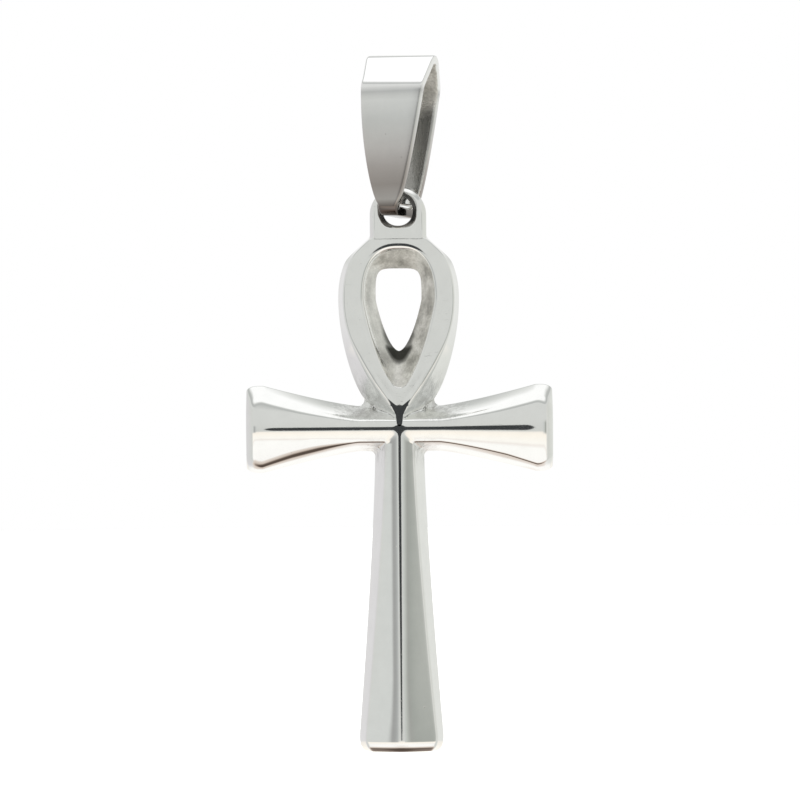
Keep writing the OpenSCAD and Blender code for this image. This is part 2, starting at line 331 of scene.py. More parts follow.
mid_x = (ankh_low.x + ankh_high.x) / 2
arm_span = ankh_high.x - ankh_low.x
back_y = ankh_high.y
hole_z = ankh_high.z - RING_HOLE_R - ARCH_WALL
arm_z = -ARM_DROP
stem_l = hole_z - ARM_DROP - ankh_low.z
ring_r = RING_HOLE_R + RING_WALL


def share_of(value, low, high):
    """How far a value is from low to high, from 0 to 1."""
    return max(0.0, min(1.0, (value - low) / (high - low)))


def soft_min(a, b, reach):
    """The lesser of two values, rounded over where they meet."""
    near = max(0.0, reach - abs(a - b))
    return min(a, b) - near * near / (4 * reach)


def softened(corners, steps=4):
    """A line through corners, each a (point, reach). A corner with a reach is a curve from that far off."""
    line = []
    for number, (corner, reach) in enumerate(corners):
        corner = Vector(corner)
        if reach == 0:
            line.append(corner)
            continue
        before = Vector(corners[number - 1][0]) - corner
        after = Vector(corners[(number + 1) % len(corners)][0]) - corner
        start = corner + before.normalized() * min(reach, before.length / 2)
        end = corner + after.normalized() * min(reach, after.length / 2)
        for step in range(steps + 1):
            t = step / steps
            line.append(start * (1 - t) ** 2 + corner * 2 * t * (1 - t) + end * t * t)
    return line


def divided(rows, longest):
    """The rows with more points: a step along them is cut into as many parts as its longest one needs."""
    turns = len(rows[0])
    cuts = []
    for number in range(turns):
        lengths = [(row[(number + 1) % turns] - row[number]).length for row in rows]
        cuts.append(max(1, round(max(lengths) / longest)))
    return [
        [row[j].lerp(row[(j + 1) % turns], part / cuts[j]) for j in range(turns) for part in range(cuts[j])]
        for row in rows
    ]


def lofted(name, rows, round_trip):
    """A closed body through rows of points: a grid wrapped round, closed by caps or by a round trip."""
    if round_trip:
        rows = rows + [rows[0]]
    body = bmesh.new()
    turns = len(rows[0])
    grid = bmesh.ops.create_grid(body, x_segments=len(rows) - 1, y_segments=turns, size=0.5)["verts"]
    for vert in grid:
        row = rows[round((vert.co.x + 0.5) * (len(rows) - 1))]
        vert.co = row[round((vert.co.y + 0.5) * turns) % turns]
    bmesh.ops.remove_doubles(body, verts=body.verts, dist=1e-5)
    if not round_trip:
        bmesh.ops.holes_fill(body, edges=[edge for edge in body.edges if edge.is_boundary], sides=0)
    bmesh.ops.recalc_face_normals(body, faces=body.faces)
    data = bpy.data.meshes.new(name)
    body.to_mesh(data)
    body.free()
    made = bpy.data.objects.new(name, data)
    bpy.context.scene.collection.objects.link(made)
    return made


def placed(across, height, up):
    """A point of the casting, across and up from the middle of the ring's hole and high over the back."""
    return Vector((mid_x + across, back_y - height, hole_z + up))


def measured(point):
    """A point's distance across, height over the back and distance up, as placed takes them."""
    return point.x - mid_x, back_y - point.y, point.z - hole_z


def limb_side(half, band, slope, fall, lift, low, ridge_round, crease_round, belly):
    """One side of a limb's section, from its ridge to its back, as (distance from the ridge, height)."""
    crease = half - band

    def roof(d):
        drop = slope * (sqrt(d * d + ridge_round ** 2) - ridge_round)
        return low * (BACK_EDGE + lift * (RIDGE_T - fall - drop - BACK_EDGE))

    steps = 16  # closer together near the ridge
    flat = max(0.45 * crease, crease - 2 * crease_round)
    distances = [flat * (step / steps) ** 1.8 for step in range(steps + 1)]
    front = [((d, roof(d)), 0) for d in distances]
    side = [
        ((crease, roof(crease)), crease_round),
        ((crease + band / 2, (roof(crease) + low * BACK_EDGE) / 2 + belly), 0.4 * band),
        ((half, low * BACK_EDGE), 0.08),
        ((half, 0), 0.05),
    ]
    return softened(front + side + [((0, 0), 0)], 6)[:-1]


def limb_section(upper, lower):
    """The closed outline of a section from its two sides."""
    return upper + [Vector((0, 0))] + [Vector((-p.x, p.y)) for p in reversed(lower[1:])]


def end_stations(band, corner):
    """Distances from a tip at which its sections lie, close together round its edges."""
    near = [band * (step / 10) ** 1.7 for step in range(11)]
    round_corner = [band + (corner + END_BEND - band) * step / 12 for step in range(1, 13)]
    return near + round_corner


def limb_end(end, band, corner, roof_corner):
    """What a limb's end does to its section: cut of its half-width, fall, lift, low edge and wider band."""
    cut = corner / 2 * (1 - sqrt(1 - share_of(corner - end, 0, corner) ** 2))
    fall = END_FALL * share_of(band + END_BEND - end, 0, END_BEND) ** 2
    lift = 1 - (1 - TIP_LIFT) * share_of(band - end, 0, band) ** 2
    low = 1 - END_EDGE_LOSS * (1 - sqrt(1 - share_of(END_EDGE - end, 0, END_EDGE) ** 2))
    turned = share_of(1.7 * band - end, 0, 1.6 * band)
    return cut, fall, lift, low, roof_corner * turned * turned * (3 - 2 * turned)


def flare(share, low, high, power):
    """The share of its widening that a limb has at a share of its length."""
    return share_of(share, low, high) ** power


arm_l = arm_span / 2
arm_ends = end_stations(TIP_BAND, TIP_CORNER)
arm_rest = 56
arm_ends += [arm_ends[-1] + (arm_l - arm_ends[-1]) * step / arm_rest for step in range(1, arm_rest + 1)]
arm_rows = []
# The lower band narrows towards the tips. The right ridge and the left lower crease get rounder outwards.
for side in (-1, 1):
    for end in (arm_ends if side < 0 else arm_ends[-2::-1]):
        out = arm_l - end
        half = (ARM_ROOT_H + (ARM_TIP_H - ARM_ROOT_H) * flare(1 - end / arm_l, *ARM_FLARE)) / 2
        cut, fall, lift, low, more = limb_end(end, TIP_BAND, TIP_CORNER, ROOF_CORNER)
        ridge = ARM_RIDGE_ROUND + RIDGE_SPREAD * (share_of(out, 3, 10) if side > 0 else 0)
        lower_band = ARM_LOWER_BAND - TIP_NARROWER * share_of(end, 3.5, 0.5)
        lower_crease = ARM_LOWER_CREASE + (CREASE_SPREAD * share_of(out, 3.5, 6.5) if side < 0 else 0)
        upper, lower = (
            limb_side(half - cut, band + more, ROOF_SLOPE, fall, lift, low, ridge, crease, belly)
            for band, crease, belly in (
                (ARM_BAND, ARM_CREASE, ARM_BELLY), (lower_band, lower_crease, ARM_LOWER_BELLY)))
        arm_rows.append([placed(side * out, p.y, arm_z + p.x) for p in limb_section(upper, lower)])
arms = lofted("arms", arm_rows, False)

stem_ends = end_stations(SOLE_BAND, FOOT_CORNER)
stem_rest = 84
stem_run = stem_l + STEM_OVER - stem_ends[-1]
stem_ends += [stem_ends[-1] + stem_run * step / stem_rest for step in range(1, stem_rest + 1)]
stem_rows = []
for end in stem_ends:
    share = 1 - end / stem_l
    half = (STEM_TOP_W + (FOOT_W - STEM_TOP_W) * flare(share, *STEM_FLARE)) / 2
    band = STEM_BAND + (FOOT_BAND - STEM_BAND) * share_of(share, 0, 1)
    cut, _, _, low, more = limb_end(end, SOLE_BAND, FOOT_CORNER, FOOT_ROOF_CORNER)
    fall = sum(steep * max(0.0, reach - end) for reach, steep in SOLE_SLANTS)
    slope = ROOF_SLOPE - FOOT_FLATTER * share_of(end, FOOT_FLAT_FROM, 0) ** 1.3
    half_line = limb_side(half - cut, band + more, slope, fall, 1, low, RIDGE_ROUND, STEM_CREASE, 0)
    stem_rows.append([placed(p.x, p.y, arm_z - stem_l + end) for p in limb_section(half_line, half_line)])
stem = lofted("stem", stem_rows, False)


# The loop's outlines are functions of the angle from its top, and give (distance across, distance up).
def loop_upper(a, w, rise, full):
    """A rounded top over the loop's widest line."""
    return w / 2 * sin(a) ** (2 / full), -LOOP_DROP + rise * max(0.0, cos(a)) ** (2 / full)


def loop_lower(a, w, dip, close):
    """The part under the widest line, which closes to a point."""
    share = min(1.0, -cos(a))
    return w / 2 * max(0.0, 1 - share ** close[0]) ** close[1], -LOOP_DROP - dip * share


def half_width(up, w, rise, full, dip, close):
    """Half of such an outline's width at a height."""
    if up > -LOOP_DROP:
        return w / 2 * max(0.0, 1 - share_of(up, -LOOP_DROP, rise - LOOP_DROP) ** full) ** (1 / full)
    return w / 2 * max(0.0, 1 - share_of(-up, LOOP_DROP, LOOP_DROP + dip) ** close[0]) ** close[1]


def shouldered(point, inset):
    """The loop leaves the ring's sides by straight shoulders."""
    across, up = point
    line = max(0.0, ring_r - inset + tan(SHOULDER_ANGLE) * (-up - SHOULDER_FROM))
    return soft_min(across, line, SHOULDER_SOFT) if up < -SHOULDER_FROM else min(across, line), up


def loop_outer(a):
    """The outside, which runs down between the limbs and closes inside them."""
    if a <= pi / 2:
        return shouldered(loop_upper(a, LOOP_W, LOOP_RISE, OUTER_FULL), 0)
    share = min(1.0, -cos(a))
    dip = ARM_DROP - LOOP_DROP - ARM_ROOT_H / 2 + OUTER_RUN
    pinch = OUTER_PINCH * share ** PINCH_POWER * (1 + NECK_PINCH * share ** NECK_POWER)
    across = LOOP_W / 2 * (1 - pinch)
    return across * sqrt(max(0.0, 1 - share ** CLOSE_POWER)), -LOOP_DROP - dip * share


face_rise = LOOP_RISE - (LOOP_W - FACE_W) / 2
face_dip = ARM_DROP - LOOP_DROP - FACE_SHORT


def loop_face(a):
    """The outer edge of the face, which ends in a blunt point over the crossing."""
    if a <= pi / 2:
        return shouldered(loop_upper(a, FACE_W, face_rise, FACE_FULL), FACE_SHOULDER_IN)
    across, up = loop_lower(a, FACE_W, face_dip, FACE_CLOSE)
    across = max(across, NECK_HALF * sqrt(share_of(pi - a, 0, NECK_TURN)))
    return across, up - POINT_RUN * share_of(a, pi - POINT_TURN, pi) ** 2


def loop_rim(a):
    """The inner edge of the face, round the opening."""
    if a <= pi / 2:
        return loop_upper(a, RIM_W, RIM_RISE, RIM_FULL)
    across, up = loop_lower(a, RIM_W, RIM_DIP + RIM_BLUNT, RIM_CLOSE)
    return across, -soft_min(-up, LOOP_DROP + RIM_DIP, RIM_POINT_SOFT)


def loop_hole(a):
    """The opening at the back."""
    if a <= pi / 2:
        return loop_upper(a, HOLE_W, HOLE_RISE, HOLE_FULL)
    return loop_lower(a, HOLE_W, HOLE_DIP, HOLE_CLOSE)


def face_height(up):
    """The ring's and the loop's face is one slope, from the ring's thickness to just under the ridges'."""
    return RING_D - (RIDGE_T - RING_D) * up / (ARM_DROP - ARM_ROOT_H / 2 + 0.04)


loop_steps = 288
loop_rows = []
for step in range(loop_steps):
    a = 2 * pi * step / loop_steps
    side = 1 if a <= pi else -1
    turned = min(a, 2 * pi - a)
    outer, face, rim, hole = (Vector(f(turned)) for f in (loop_outer, loop_face, loop_rim, loop_hole))
    soft = FACE_SOFT + POINT_SOFT * (share_of(-face.y, 9.5, 12.5) - share_of(-face.y, 14.2, 15))
    roll = rim + (face - rim).normalized() * ROLL_W
    loop_rows.append(softened([
        (placed(side * outer.x, 0, outer.y), 0.05),
        (placed(side * outer.x, BACK_EDGE, outer.y), 0.08),
        (placed(side * face.x, face_height(face.y), face.y), soft),
        (placed(side * roll.x, face_height(roll.y), roll.y), 0.08),
        (placed(side * rim.x, face_height(rim.y) - ROLL_FALL, rim.y), 0.14),
        (placed(side * hole.x, 0, hole.y), 0.06),
    ], 5))
loop_rows = divided(loop_rows, LOOP_GRID)
for row in loop_rows:
    for point in row:
        across, height, up = measured(point)
        face_half = half_width(up, FACE_W, face_rise, FACE_FULL, face_dip, FACE_CLOSE)
        edge = share_of(face_half - abs(across), DISH_W, 0)
        raised = height + FACE_DISH * edge ** 1.5 * share_of(-up, DISH_FROM, DISH_FULL)
        point.y = back_y - soft_min(raised, RIDGE_T, 2 * OVERLAY)
loop = lofted("loop", loop_rows, True)

ring_steps = 144
shoulder = LOOP_DROP - RIM_RISE - RING_FOOT
ring_top = ARCH_WALL - RING_WALL


def ring_outline(a, inset):
    """The outline of the ring: round over the top, then straight legs and a foot inside the loop."""
    r = ring_r - inset
    if a <= pi / 2:
        return Vector((r * sin(a), ring_top + r * cos(a)))
    share = (a - pi / 2) / (pi / 2)
    if share <= RING_LEG_SHARE:
        return Vector((r, ring_top - (shoulder + ring_top) * share / RING_LEG_SHARE))
    return Vector((r * (1 - (share - RING_LEG_SHARE) / (1 - RING_LEG_SHARE)), -shoulder))


def hole_flare(a):
    """How far the ring's hole opens to its faces: most over and under its middle, least at its bottom."""
    clear = CLEAR_FLARE * share_of(abs(a - pi / 2), 0.04 * pi, 0.18 * pi)
    return RING_FLARE + clear - UNDER_FLARE * share_of(a, 0.78 * pi, 0.96 * pi)


def ring_face(up):
    """The ring's face lies a hair over the loop's."""
    return face_height(up) + OVERLAY


ring_rows = []
for step in range(ring_steps):
    a = 2 * pi * step / ring_steps
    side = 1 if a <= pi else -1
    turned = min(a, 2 * pi - a)
    outer, inner = ring_outline(turned, 0), ring_outline(turned, RING_EDGE)
    ray = Vector((sin(turned), cos(turned)))
    waist, mouth = ray * RING_HOLE_R, ray * (RING_HOLE_R + hole_flare(turned))
    corners = [
        (placed(side * waist.x, RING_D / 2, waist.y), 0.2),
        (placed(side * mouth.x, ring_face(mouth.y), mouth.y), 0.12),
        (placed(side * inner.x, ring_face(inner.y), inner.y), 0.12),
        (placed(side * outer.x, RING_D - RING_EDGE, outer.y), 0.12),
        (placed(side * outer.x, RING_EDGE, outer.y), 0.12),
        (placed(side * inner.x, 0, inner.y), 0.12),
        (placed(side * mouth.x, 0, mouth.y), 0.12),
    ]
    ring_rows.append(softened(corners))
ring = lofted("ring", ring_rows, True)


def fused(name, parts):
    """The parts as one body, as they leave the mould."""
    first = parts[0]
    for part in parts[1:]:
        step = first.modifiers.new(part.name, "BOOLEAN")
        step.operation = "UNION"
        step.solver = "MANIFOLD"
        step.object = part
    bpy.context.view_layer.update()
    data = bpy.data.meshes.new_from_object(first.evaluated_get(bpy.context.evaluated_depsgraph_get()))
    for part in parts:
        bpy.data.objects.remove(part)
    data.name = name
    made = bpy.data.objects.new(name, data)
    bpy.context.scene.collection.objects.link(made)
    return made


def filleted(name, parts, plain_parts):
    """The parts fused. The valleys between the first ones are filled in front, wider where they are deep."""
    trees = [BVHTree.FromObject(part, bpy.context.evaluated_depsgraph_get()) for part in parts]
    made = fused(name, parts + plain_parts)
    ahead = Vector((0, 1, 0))

    def filled(vert):
        """The height over the back with its valley filled, or None away from a valley and off the front."""
        start = Vector((vert.co.x, back_y - 2 * RIDGE_T, vert.co.z))
        hits = [tree.ray_cast(start, ahead)[0] for tree in trees]
        heights = sorted((back_y - hit.y for hit in hits if hit), reverse=True)
        own = back_y - vert.co.y
        if len(heights) < 2 or own < heights[0] - 0.02:
            return None
        reach = CORE_FILLET + FILLET_GROWTH * (RIDGE_T - (heights[0] + heights[1]) / 2)
        near = reach - (heights[0] - heights[1])
        if near <= 0:
            return None
        return max(own, min(RIDGE_T, heights[0] + near * near / (4 * reach)))

    body = bmesh.new()
    body.from_mesh(made.data)
    bmesh.ops.triangulate(body, faces=body.faces)
    for _ in range(3):
        valley = {vert for vert in body.verts if filled(vert) is not None}
        long = [
            edge for edge in body.edges
            if edge.calc_length() > VALLEY_EDGE and any(vert in valley for vert in edge.verts)
            and all(face.normal.y < -0.02 for face in edge.link_faces)
        ]
        bmesh.ops.subdivide_edges(body, edges=long, cuts=1, use_grid_fill=True)
        bmesh.ops.triangulate(body, faces=[face for face in body.faces if len(face.verts) > 3])
    for vert, height in [(vert, filled(vert)) for vert in body.verts]:
        if height is not None:
            vert.co.y = back_y - height
    body.to_mesh(made.data)
    body.free()
    return made


def web(name, across, up, r, start, end, band, top):
    """A rounded inside corner: a slanted band's section turned about a point outside, from start to end.

    Its two ends are buried a little in the limbs that it joins.
    """
    rows = []
    steps = 16
    for step in range(steps + 1):
        a = start + (end - start) * step / steps
        buried = 0.02 * abs(2 * step / steps - 1) ** 6
        sunk = r + buried
        ray = Vector((cos(a), sin(a)))
        high = top(up + ray.y * (r + band)) - buried
        corners = [(sunk, 0, 0), (sunk, BACK_EDGE, 0.08), (r + band, high, 0.2), (r + band + 0.1, 0, 0)]
        rows.append(softened([
            (placed(across + ray.x * d, height, up + ray.y * d), reach) for d, height, reach in corners
        ]))
    return lofted(name, rows, False)


webs = []
for side, side_from in zip((-1, 1), SIDE_WEB_STARTS):
    low_from = radians(90 if side > 0 else 0)
    low_up = arm_z - ARM_ROOT_H / 2 - UNDER_WEB_R
    webs.append(web(
        "web_under", side * (STEM_TOP_W / 2 + UNDER_WEB_R), low_up, UNDER_WEB_R,
        low_from, low_from + radians(90), UNDER_WEB_BAND, lambda up: UNDER_WEB_TOP))
    high_from = pi if side > 0 else -SHOULDER_ANGLE
    high_up = SHOULDER_WEB_R * tan(SHOULDER_ANGLE / 2) - SHOULDER_FROM
    webs.append(web(
        "web_shoulder", side * (ring_r + SHOULDER_WEB_R), high_up, SHOULDER_WEB_R,
        high_from, high_from + SHOULDER_ANGLE, SHOULDER_WEB_BAND, lambda up: face_height(up) - OVERLAY))
    webs.append(web(
        "web_side", side * SIDE_WEB[0], SIDE_WEB[1], SIDE_WEB_R,
        side_from, side_from + SIDE_WEB_SWEEP, SIDE_WEB_BAND, lambda up: SIDE_WEB_TOP))

casting = filleted("ankh_casting", [arms, stem, loop], [ring] + webs)

# The ring's face is brought level with the loop's where the two run into each other.
for vert in casting.data.vertices:
    across, height, up = measured(vert.co)
    level = face_height(up)
    near = FOOT_MERGE if -up > FOOT_MERGE_FROM else 2 * OVERLAY
    on_foot = abs(across) < ring_r - RING_EDGE + FOOT_MERGE and 1 < -up < shoulder + 0.1
    if on_foot and abs(height - level) < near:
        vert.co.y = back_y - level


def finish_mesh(piece, sharp_degrees):
    """Brings a piece from millimetres to metres, and smooths its shading between its sharp edges."""
    piece.data.transform(Matrix.Scale(MM, 4))
    for polygon in piece.data.polygons:
        polygon.use_smooth = True
    piece.data.set_sharp_from_angle(angle=radians(sharp_degrees))


def opening_wear_and_shade(across, up, depth):
    """Shares of raw skin and of painted shade on the walls of the loop's opening, from depth 0 in front to 1
    behind.
    """
    turned = share_of(across, -1, 1)
    under_arch = share_of(up, 1.2 - LOOP_DROP, 2.6 - LOOP_DROP)
    side_share = max(0.62 + 0.38 * turned, under_arch)
    # The front of each wall is polished to this depth.
    polished = (0.1 - 0.08 * turned) * (1 - 0.8 * share_of(-up, 12, 13))
    # Painted shade: the back of the lower walls, the deep point below and the right wall are darkened where
    # shade falls.
    low_edge = share_of(depth, 0.45, 0.9) * share_of(-up, 6.8, 9.4)
    low_point = share_of(depth, 0.46, 0.74) * share_of(-up, 9.6, 10.3)
    dim_side = share_of(across, 1.2, 1.9) * share_of(up, -8.6, -7) * (1 - under_arch)
    painted_shade = max(0.75 * low_edge, 0.97 * low_point, 0.4 * dim_side)
    return share_of(depth, polished, 2.4 * polished) * side_share, painted_shade


def ring_wear_and_shade(across, up):
    """The same shares in the ring's hole, whose dark walls are painted shade, and a faint grime on the face
    close under it.
    """
    from_hole = Vector((across, up)).length - RING_HOLE_R - RING_FLARE
    from_hole += (UNDER_FLARE - CLEAR_FLARE) * share_of(-up, 1.1, 1.3) - 0.05 * share_of(-up, 0.4, 0.9)
    if from_hole < 0.04:
        # Painted shade inside the hole, darkest in its upper part, under the arch.
        under = share_of(-up, 0.75, 1.15)
        return 0.5 + 0.5 * under, 0.85 - 0.6 * under
    return 0.0, 0.34 * share_of(from_hole, 0.4, 0.1) * share_of(-up, 0.6, 1.2)


def brushing(across, height, up):
    """The share of brushed metal: in the corners between the limbs, but not at the back."""
    side_corner = Vector((abs(across) - 2.93, up - arm_z - 1.95)).length
    under_corner = Vector((abs(across) - 1.9, up - arm_z + 1.75)).length
    near_neck = share_of(side_corner, 2.6, 0.4) * share_of(RIDGE_T - height, 0.02, 0.12)
    return max(near_neck, share_of(under_corner, 1.3, 0.3)) * share_of(height, 0.1, 0.3)


# Per point: shares of raw skin, of painted shade with some grime, and of brushing.
wear_and_shade_maps = [casting.data.attributes.new(name, "FLOAT", "POINT") for name in ("raw", "shade_and_grime", "brush")]
for number, vert in enumerate(casting.data.vertices):
    across, height, up = measured(vert.co)
    rim_half = half_width(up, RIM_W, RIM_RISE, RIM_FULL, RIM_DIP + RIM_BLUNT, RIM_CLOSE)
    shares = 0.0, 0.0
    if height >= 0.02:
        if abs(across) < rim_half + 0.02 and -RIM_DIP < up + LOOP_DROP < RIM_RISE + 0.02:
            shares = opening_wear_and_shade(across, up, 1 - height / face_height(up))
        else:
            shares = ring_wear_and_shade(across, up)
    for wear_and_shade_map, share in zip(wear_and_shade_maps, (*shares, brushing(across, height, up))):
        wear_and_shade_map.data[number].value = share

finish_mesh(casting, 32)

ANKH_TONE = 0.88, 0.885, 0.87, 1
SKIN_TONES = (
    (0.34, (0.3, 0.29, 0.26)), (0.44, (0.46, 0.45, 0.41)),
    (0.54, (0.62, 0.61, 0.565)), (0.66, (0.84, 0.83, 0.79)))
# The darkest tone is for painted shade, with some grime.
BRUSHED_TONE, PIT_TONE, SHADE_AND_GRIME_TONE = (0.4, 0.385, 0.37), (0.25, 0.24, 0.22), (0.022, 0.022, 0.016)
POLISH_ROUGH, RAW_ROUGH, BRUSH_ROUGH, SCRATCH_ROUGH, SHADE_AND_GRIME_ROUGH = 0.065, 0.36, 0.2, 0.05, 0.3
WAVE_HEIGHT, SCRATCH_HEIGHT, RAW_HEIGHT, BRUSH_HEIGHT, PIT_HEIGHT = 9e-6, -4e-7, 3e-5, 8e-6, -6e-6
RAW_DULLS = -0.5


def wear_and_shade_group():
    """The wear and painted shade of both pieces: what a tone and shares of raw skin, of painted shade with
    some grime, and of brushing do to the surface.
    """
    group = bpy.data.node_groups.new("metal_wear_and_shade", "ShaderNodeTree")
    for name in ("Raw", "Stain", "Brush"):
        group.interface.new_socket(name, in_out="INPUT", socket_type="NodeSocketFloat")
    group.interface.new_socket("Tone", in_out="INPUT", socket_type="NodeSocketColor")
    puts_out = (("Colour", "Color"), ("Metallic", "Float"), ("Roughness", "Float"), ("Normal", "Vector"))
    for name, kind in puts_out:
        group.interface.new_socket(name, in_out="OUTPUT", socket_type="NodeSocket" + kind)
    given = group.nodes.new("NodeGroupInput").outputs
    spot = add(group, "ShaderNodeTexCoord").outputs["Object"]

    def grain(scale, detail, stretch=(1, 1, 1), turn=0.0):
        place = add(group, "ShaderNodeMapping", spot, None, (0, turn, 0), stretch).outputs[0]
        return add(group, "ShaderNodeTexNoise", place, None, scale, detail, 0.6).outputs[0]

    wave = grain(260, 2)
    patch = grain(900, 4)
    speckle = grain(7000, 4)
    scratch = between(group, grain(900, 3, (1, 1, 9), 0.5), 0.64, 0.72)
    pit = between(group, grain(2600, 1), 0.79, 0.83)
    strokes = between(group, grain(2200, 3, (1, 1, 0.35), 0.4), 0.4, 0.62)
    brushed = sum_up(group, "MULTIPLY", given["Brush"], strokes)
    mottle = sum_up(group, "MULTIPLY_ADD", patch, 0.1, 0.95)
    coarse = sum_up(group, "MULTIPLY_ADD", patch, 0.68, sum_up(group, "MULTIPLY", speckle, 0.32))
    # Painted shade, with some grime: dark speckles that close up into a dark cover where its share is high.
    shade_and_grime_spread = sum_up(group, "MULTIPLY_ADD", given["Stain"], 1.6, -0.9)
    shade_and_grime_mask = between(group, sum_up(group, "MULTIPLY_ADD", speckle, 0.8, shade_and_grime_spread), 0.0, 0.6)
    shade_and_grime_mask = sum_up(group, "MULTIPLY", shade_and_grime_mask, given["Stain"], clamp=True)

    toned = blend_colours(group, 1.0, given["Tone"], mottle, "MULTIPLY")
    toned = blend_colours(group, sum_up(group, "MULTIPLY", brushed, 0.4), toned, BRUSHED_TONE)
    toned = blend_colours(group, given["Raw"], toned, ramp(group, coarse, SKIN_TONES))
    toned = blend_colours(group, sum_up(group, "MULTIPLY", pit, 0.55), toned, PIT_TONE)
    toned = blend_colours(group, shade_and_grime_mask, toned, SHADE_AND_GRIME_TONE)

    metallic = sum_up(group, "MULTIPLY_ADD", given["Raw"], RAW_DULLS, 1.0)
    rough = POLISH_ROUGH
    for share, more in (
            (given["Raw"], RAW_ROUGH), (given["Brush"], BRUSH_ROUGH),
            (scratch, SCRATCH_ROUGH), (shade_and_grime_mask, SHADE_AND_GRIME_ROUGH)):
        rough = sum_up(group, "MULTIPLY_ADD", share, more, rough)

    raw_grain = sum_up(group, "MULTIPLY", speckle, given["Raw"])
    height = sum_up(group, "MULTIPLY", wave, WAVE_HEIGHT)
    for mark, high in (
            (scratch, SCRATCH_HEIGHT), (raw_grain, RAW_HEIGHT), (brushed, BRUSH_HEIGHT), (pit, PIT_HEIGHT)):
        height = sum_up(group, "MULTIPLY_ADD", mark, high, height)
    bump = add(group, "ShaderNodeBump", 1.0, 1.0)
    group.links.new(height, bump.inputs["Height"])

    ends = group.nodes.new("NodeGroupOutput").inputs
    for (name, _), value in zip(puts_out, (toned, metallic, rough, bump.outputs[0])):
        group.links.new(value, ends[name])
    return group


metal_wear_and_shade = wear_and_shade_group()


def worn_metal(name, tone_of, **shares_of):
    """A polished metal whose tone and shares of wear and painted shade come from functions of its node tree.
    """
    made = bpy.data.materials.new(name)
    made.use_nodes = True
    tree = made.node_tree
    skin = tree.nodes["Principled BSDF"]
    worn = tree.nodes.new("ShaderNodeGroup")
    worn.node_tree = metal_wear_and_shade
    tree.links.new(tone_of(tree), worn.inputs["Tone"])
    for wear, share_from in shares_of.items():
        tree.links.new(share_from(tree), worn.inputs[wear])
    tree.links.new(worn.outputs["Colour"], skin.inputs["Base Color"])
    for look in ("Metallic", "Roughness", "Normal"):
        tree.links.new(worn.outputs[look], skin.inputs[look])
    return made


def attribute(tree, name):
    """One of the piece's own attributes."""
    return add(tree, "ShaderNodeAttribute", attribute_name=name).outputs["Fac"]


def ankh_tone(tree):
    """One tone all over."""
    made = tree.nodes.new("ShaderNodeRGB")
    made.outputs[0].default_value = ANKH_TONE
    return made.outputs[0]


casting.data.materials.clear()
casting.data.materials.append(worn_metal(
    "ankh_metal", ankh_tone,
    Raw=lambda tree: attribute(tree, "raw"),
    Stain=lambda tree: attribute(tree, "shade_and_grime"),
    Brush=lambda tree: attribute(tree, "brush")))
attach(casting, "ankh")
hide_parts("ankh")

# Bail
# A tapered strap of the same metal, folded into a long loop: wide over the top, narrow round the ring.
# Its edges are finely rounded, and it hangs turned and leaning a little.

BAIL_H = 12.1
STRAP_TOP_W, STRAP_BOTTOM_W, STRAP_T = 5.4, 1.38, 0.72
STRAP_EDGE = 0.2
INNER_HALF = 1.75
FOOT_BEND, SHOULDER_BEND, TOP_BEND = 0.4, 0.5, 0.35
FOOT_FOLD = 0.75
SHOULDER_DROP, SHOULDER_IN = 2.0, 0.25
BAIL_TURN, BAIL_LEAN = radians(19.5), radians(2.1)
LEFT_BULGE, BULGE_TO, BULGE_FULL = 0.3, 0.84, 0.7
NARROW_SHARE, TAPER_POWER = 0.75 / BAIL_H, 0.68
BEND_STEPS, PLATE_STEP = 16, 0.2
HEART_LOW, HEART_HIGH = -9.0, -2.0


def strap_half(up, side):
    """Half of the strap's width at a height over the origin. Its left edge bulges a little."""
    share = (up + BAIL_H - STRAP_T) / BAIL_H
    widening = share_of(share, NARROW_SHARE, 1) ** TAPER_POWER
    half = (STRAP_BOTTOM_W + (STRAP_TOP_W - STRAP_BOTTOM_W) * widening) / 2
    if side < 0:
        half += LEFT_BULGE * sin(pi * share_of(share, NARROW_SHARE, BULGE_TO)) ** BULGE_FULL
    return half


def strap_side(wall, foot_r):
    """Points up the back half of the strap's side view, on the face this far outside its inner one."""
    bends = [
        (Vector((INNER_HALF + wall - foot_r, foot_r - wall + 2 * STRAP_T - BAIL_H)), foot_r),
        (Vector((INNER_HALF - SHOULDER_IN - SHOULDER_BEND, -SHOULDER_DROP)), SHOULDER_BEND + wall),
        (Vector((0, -TOP_BEND)), TOP_BEND + wall),
    ]
    turns = [-pi / 2]
    for (low, low_r), (high, high_r) in zip(bends, bends[1:]):
        away = high - low
        turns.append(atan2(away.y, away.x) - pi / 2 + asin((low_r - high_r) / away.length))
    turns.append(pi / 2)
    points = []
    for (middle, r), start, end in zip(bends, turns, turns[1:]):
        for step in range(BEND_STEPS + 1):
            a = start + (end - start) * step / BEND_STEPS
            points.append(middle + Vector((cos(a), sin(a))) * r)
    return points


def strap_path():
    """Points round the strap's side view, as (inner, outer): bends joined by straight plates."""
    half = list(zip(strap_side(0, FOOT_BEND), strap_side(STRAP_T, FOOT_FOLD)))
    whole = half + [tuple(Vector((-p.x, p.y)) for p in pair) for pair in reversed(half[:-1])]
    path = []
    for (inner, outer), (next_inner, next_outer) in zip(whole, whole[1:] + whole[:1]):
        parts = max(1, round((next_inner - inner).length / PLATE_STEP))
        for part in range(parts):
            path.append((inner.lerp(next_inner, part / parts), outer.lerp(next_outer, part / parts)))
    return path


